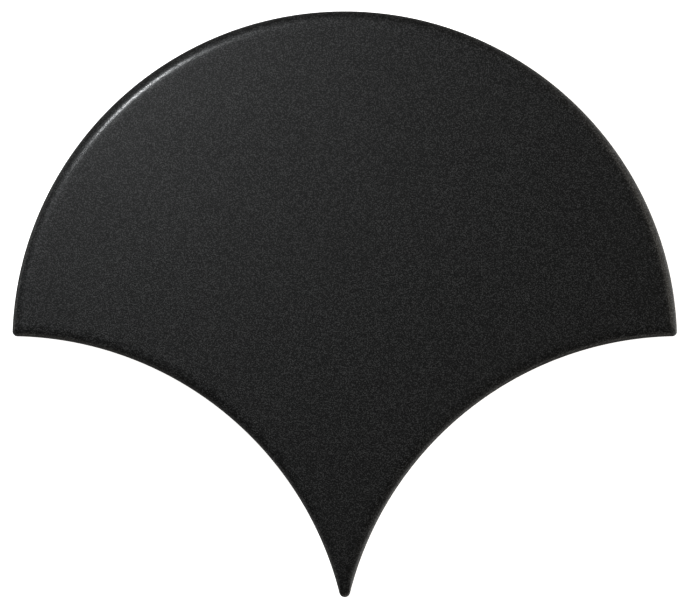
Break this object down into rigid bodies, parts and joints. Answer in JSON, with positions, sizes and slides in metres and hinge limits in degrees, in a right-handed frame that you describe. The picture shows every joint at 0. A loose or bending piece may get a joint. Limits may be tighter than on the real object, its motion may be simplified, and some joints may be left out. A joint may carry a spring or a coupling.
{
  "type": "fish scale tile",
  "caption": "Fan-shaped ceramic wall tile with a half-round head, two scallops, a pointed tail, softly rolled face edges and a keyed back.",
  "frame": {"origin": "centre of the head's arc, on the back plane that the tile lies on", "axes": "+X across the tile from corner to corner, +Y to the crown of the head, +Z out of the glazed face"},
  "size_m": [0.12, 0.1057, 0.009],
  "materials": {
    "glaze": "satin"
  },
  "bodies": {
    "root": {"tile": "glaze"}
  },
  "joints": []
}
